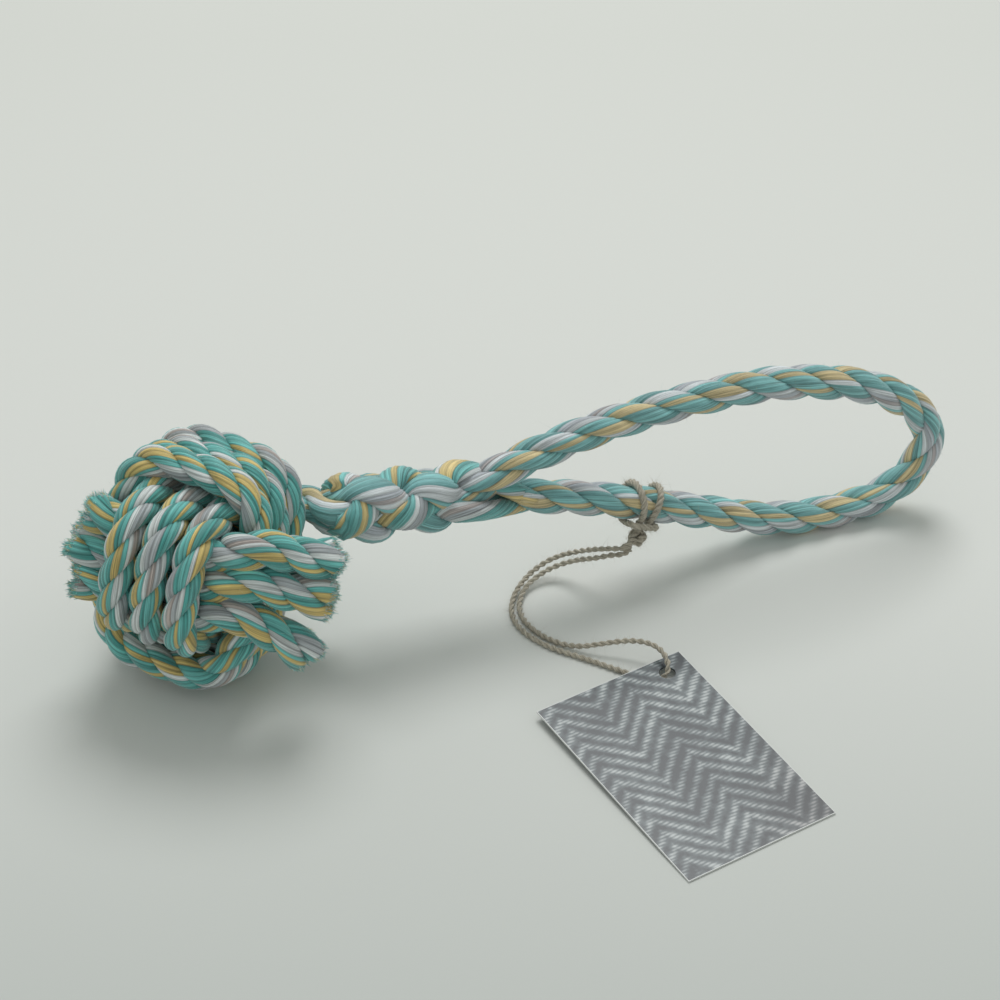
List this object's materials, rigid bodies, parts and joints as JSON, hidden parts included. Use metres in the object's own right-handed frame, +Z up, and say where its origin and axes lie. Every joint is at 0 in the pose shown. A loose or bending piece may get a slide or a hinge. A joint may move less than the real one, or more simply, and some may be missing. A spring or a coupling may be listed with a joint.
{
  "type": "rope dog toy",
  "caption": "Three-strand rope dog toy: a knotted rope ball with fanned cut ends, a spliced hand loop, and a card tag on a jute twine.",
  "frame": {"origin": "on the floor, under the middle of the ball and the handle's box, the twine and the tag left out", "axes": "+X from the ball along the handle to the loop's far end, +Z up from the floor the toy lies on, +Y away from the tag"},
  "size_m": [0.3044, 0.192, 0.0832],
  "materials": {
    "mixed_rope": "satin fibre, teal with yellow, white and grey yarns",
    "jute_twine": "rough natural fibre",
    "printed_card": "coated card with a grey-blue rope pattern"
  },
  "bodies": {
    "ball": {"front_winding": "mixed_rope", "top_winding": "mixed_rope", "front_cross_rope_upper": "mixed_rope", "front_cross_rope_middle": "mixed_rope", "front_cross_rope_lower": "mixed_rope", "back_cross_rope_upper": "mixed_rope", "back_cross_rope_middle": "mixed_rope", "back_cross_rope_lower": "mixed_rope", "core_knot": "mixed_rope"},
    "handle": {"handle_rope": "mixed_rope", "splice_strand_1": "mixed_rope", "splice_strand_2": "mixed_rope", "splice_strand_3": "mixed_rope", "twine_hitch": "jute_twine", "twine_knot": "jute_twine", "tag_twine": "jute_twine"},
    "tag": {"swing_tag": "printed_card"}
  },
  "joints": [
    {"name": "handle_swing", "type": "hinge", "parent": "ball", "child": "handle", "pos_m": [-0.06687, -0.00327, 0.05297], "axis": [0, 0, 1], "range_deg": [-30, 30]},
    {"name": "tag_turn", "type": "hinge", "parent": "handle", "child": "tag", "pos_m": [0.02873, -0.06047, 0.0026], "axis": [0.0063, -0.0272, 0.9996], "range_deg": [-35, 35]}
  ]
}
